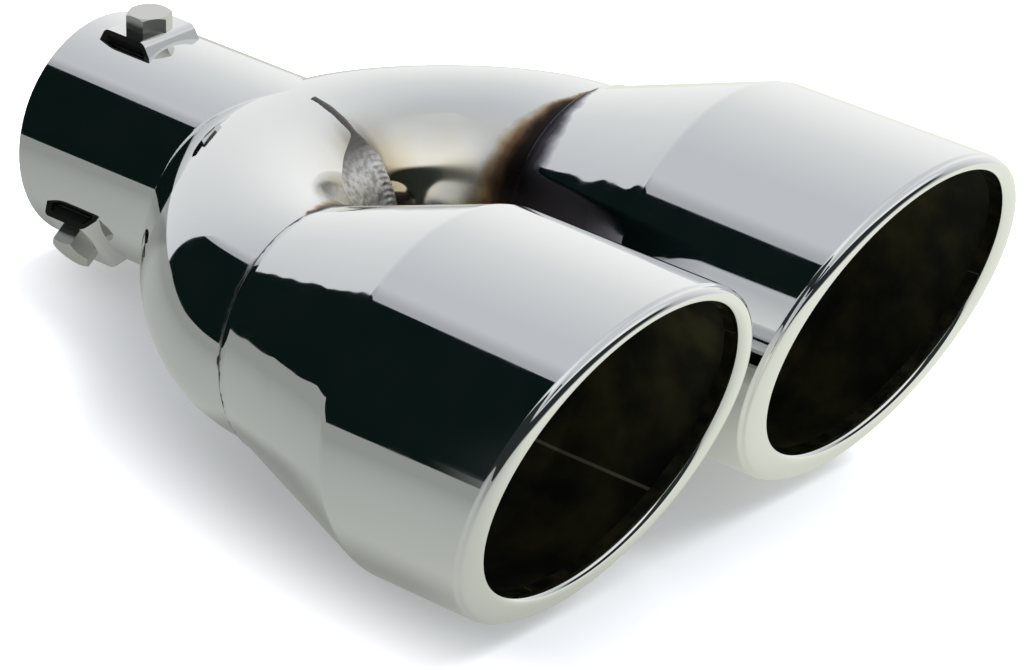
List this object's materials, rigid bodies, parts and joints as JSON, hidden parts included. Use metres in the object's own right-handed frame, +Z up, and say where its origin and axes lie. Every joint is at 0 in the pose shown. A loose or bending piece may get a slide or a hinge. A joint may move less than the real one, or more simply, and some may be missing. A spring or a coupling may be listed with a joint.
{
  "type": "exhaust tip",
  "caption": "Twin-outlet exhaust tip of polished stainless steel: clamp collar, U-shaped splitter and slash-cut outlets with rolled-in lips.",
  "frame": {"origin": "centre of the inlet collar's bore, in the plane of its open end", "axes": "+Y along the collar's bore, out of its open end; the outlets point to -Y, side by side along X; +Z up, the side where the slash-cut mouths reach furthest forward"},
  "size_m": [0.1842, 0.224, 0.0888],
  "materials": {
    "polished_stainless": "mirror-polished stainless steel",
    "plated_fastener": "bright plated steel",
    "weld_metal": "ground weld bead with heat tint"
  },
  "bodies": {
    "root": {"inlet_collar": "polished_stainless", "elbow_left": "polished_stainless", "elbow_right": "polished_stainless", "outlet_left": "polished_stainless", "outlet_right": "polished_stainless", "clamp_screws": "plated_fastener", "clamp_nuts": "plated_fastener", "collar_weld": "weld_metal", "crotch_weld": "weld_metal", "neck_weld_left": "weld_metal", "neck_weld_right": "weld_metal"}
  },
  "joints": []
}
